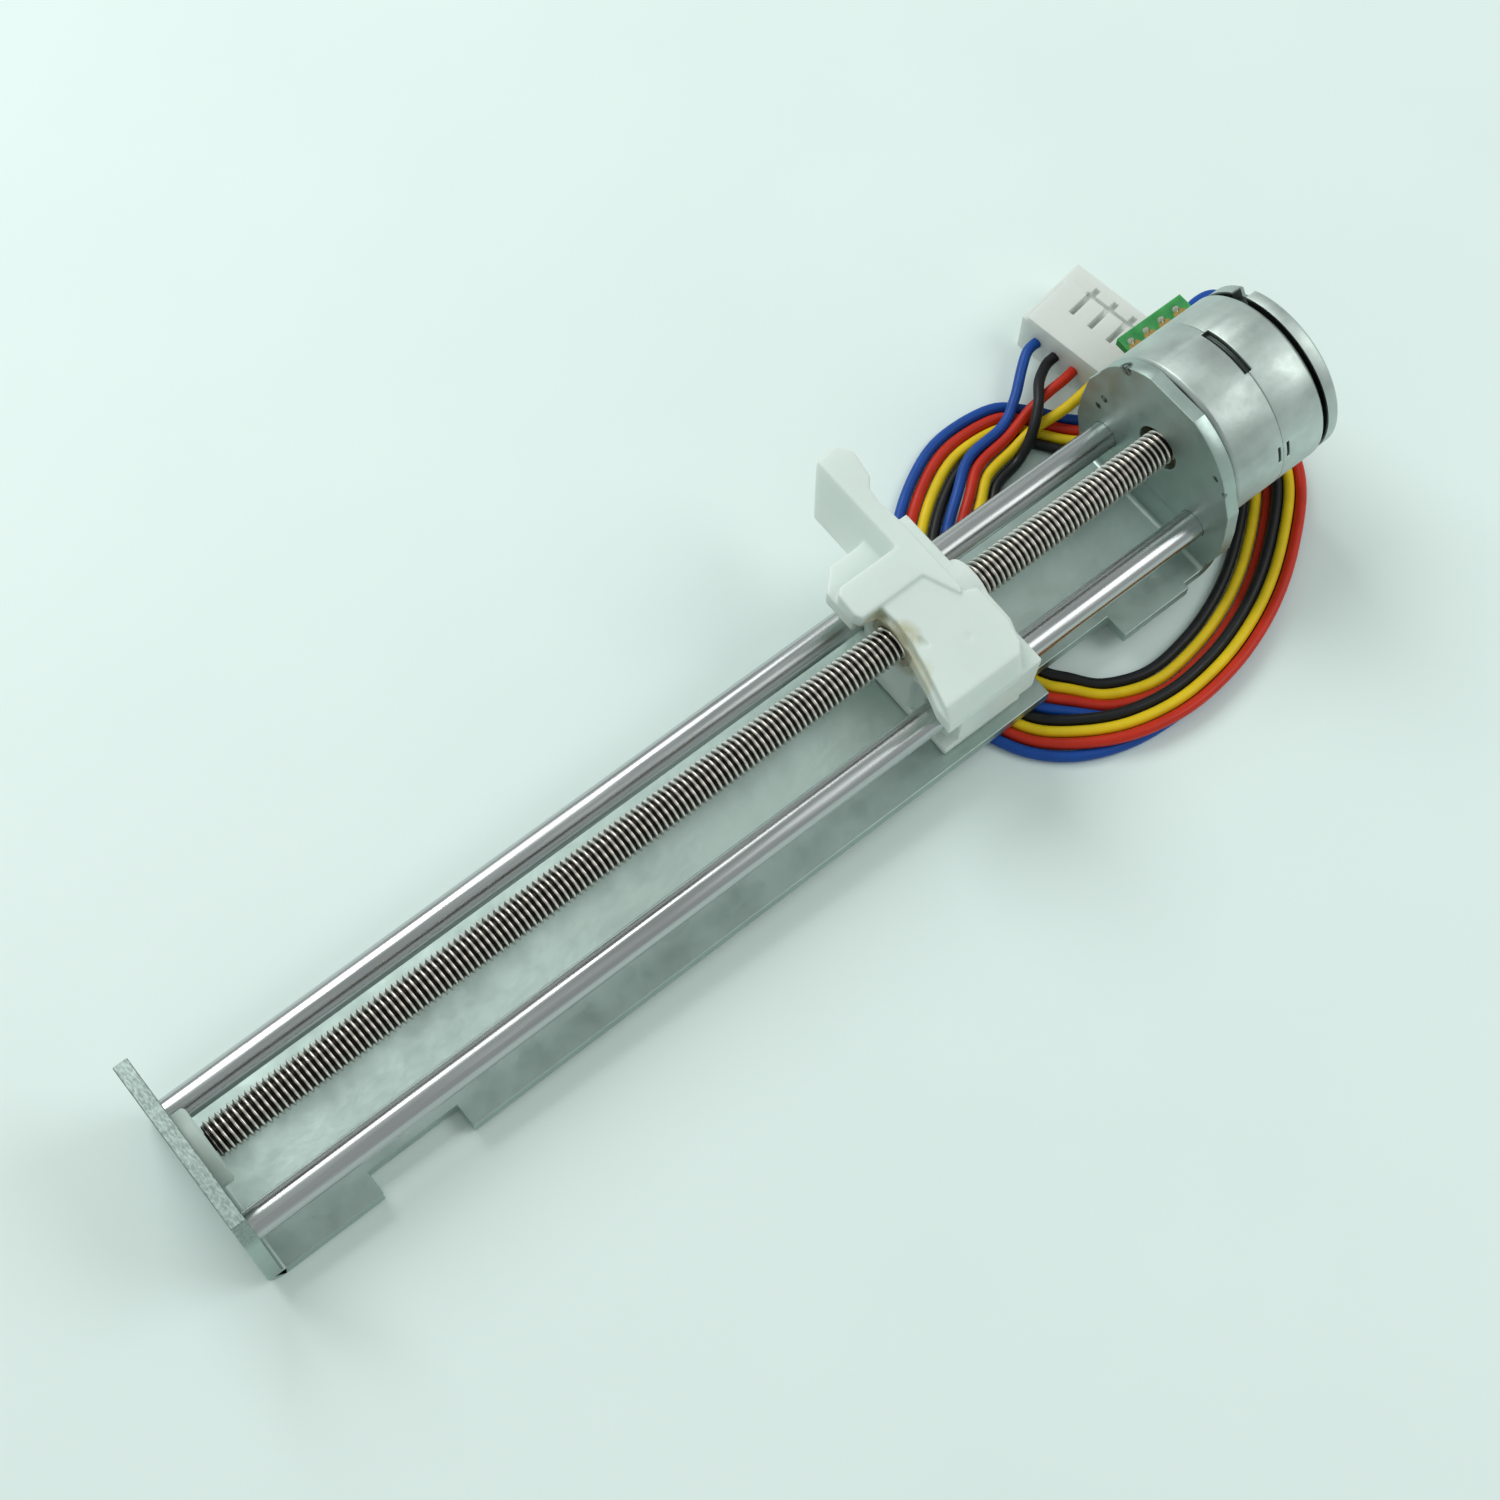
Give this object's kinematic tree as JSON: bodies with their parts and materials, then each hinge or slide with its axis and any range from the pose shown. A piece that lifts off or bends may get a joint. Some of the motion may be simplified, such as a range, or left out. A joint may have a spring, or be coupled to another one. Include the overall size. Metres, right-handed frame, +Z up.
{
  "type": "stepper motor with lead screw",
  "caption": "Small linear stage: a can-stack stepping motor turns a fine lead screw that drives a moulded slider along two steel guide rods in a U-shaped sheet steel bracket.",
  "frame": {"origin": "centre of the bracket base's flat underside", "axes": "+X along the lead screw towards the motor, +Y to the left when looking along +X, +Z up out of the base"},
  "size_m": [0.109, 0.0358, 0.0195],
  "materials": {
    "zinc_steel": "satin",
    "polished_steel": "polished",
    "moulded_plastic": "satin",
    "nut_plastic": "satin",
    "dark_plastic": "matte",
    "bronze": "satin",
    "magnet": "matte",
    "copper": "satin",
    "board": "satin",
    "solder": "satin",
    "wire_blue": "satin",
    "wire_red": "satin",
    "wire_yellow": "satin",
    "wire_black": "satin",
    "connector_white": "satin"
  },
  "bodies": {
    "frame": {"bracket": "zinc_steel", "guide_rod_left": "polished_steel", "guide_rod_right": "polished_steel", "end_bush": "nut_plastic", "front_can": "zinc_steel", "rear_can": "zinc_steel", "front_pole_plate": "zinc_steel", "rear_pole_plate": "zinc_steel", "front_bobbin": "dark_plastic", "rear_bobbin": "dark_plastic", "front_coil": "copper", "rear_coil": "copper", "front_bearing": "bronze", "rear_bearing": "bronze", "thrust_ball": "polished_steel", "rear_cover": "zinc_steel", "terminal_block": "dark_plastic", "terminal_pins": "solder", "terminal_board": "board", "solder_joints": "solder", "wire_blue": "wire_blue", "wire_red": "wire_red", "wire_yellow": "wire_yellow", "wire_black": "wire_black", "connector_housing": "connector_white", "connector_contacts": "solder"},
    "spindle": {"lead_screw": "polished_steel", "rotor_hub": "moulded_plastic", "rotor_magnet": "magnet"},
    "slider": {"slider_body": "moulded_plastic", "drive_nut": "nut_plastic"}
  },
  "joints": [
    {"name": "screw_turn", "type": "hinge", "parent": "frame", "child": "spindle", "pos_m": [0, 0, 0.0102], "axis": [1, 0, 0], "range_deg": [-12961, 42841]},
    {"name": "slider_travel", "type": "slide", "parent": "frame", "child": "slider", "axis": [1, 0, 0], "range_m": [-0.0595, 0.018]}
  ],
  "couplings": [
    {"joint": "screw_turn", "follows": "slider_travel", "rad_per_m": -12566}
  ]
}
